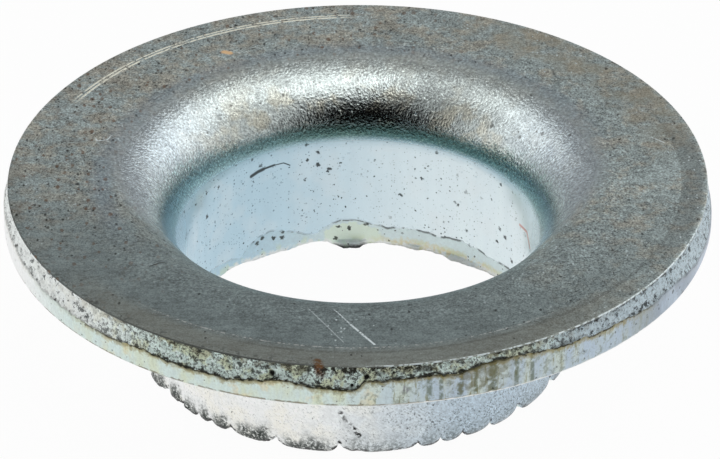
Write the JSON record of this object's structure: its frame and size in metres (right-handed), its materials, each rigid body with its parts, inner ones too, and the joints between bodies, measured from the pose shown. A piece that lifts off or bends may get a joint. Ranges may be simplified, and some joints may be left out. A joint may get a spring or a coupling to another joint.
{
  "type": "collar washer",
  "caption": "Round sheet-steel collar washer: a flat flange that bends through a wide shoulder into a short drawn collar with a torn, lobed free end.",
  "frame": {"origin": "on the bore's axis, at the height of the lowest lobes of the collar's free end", "axes": "+Z along the bore's axis from the collar's free end to the flange's top face; +X and +Y in the plane of the flange, with -Y towards the widest lobe"},
  "size_m": [0.032, 0.032, 0.0085],
  "materials": {
    "plated_steel": "zinc-plated mild steel, worn dull grey on the flange's top, bright on the shoulder, pale in the bore, with rust specks and brown stains"
  },
  "bodies": {
    "root": {"collar_washer": "plated_steel"}
  },
  "joints": []
}
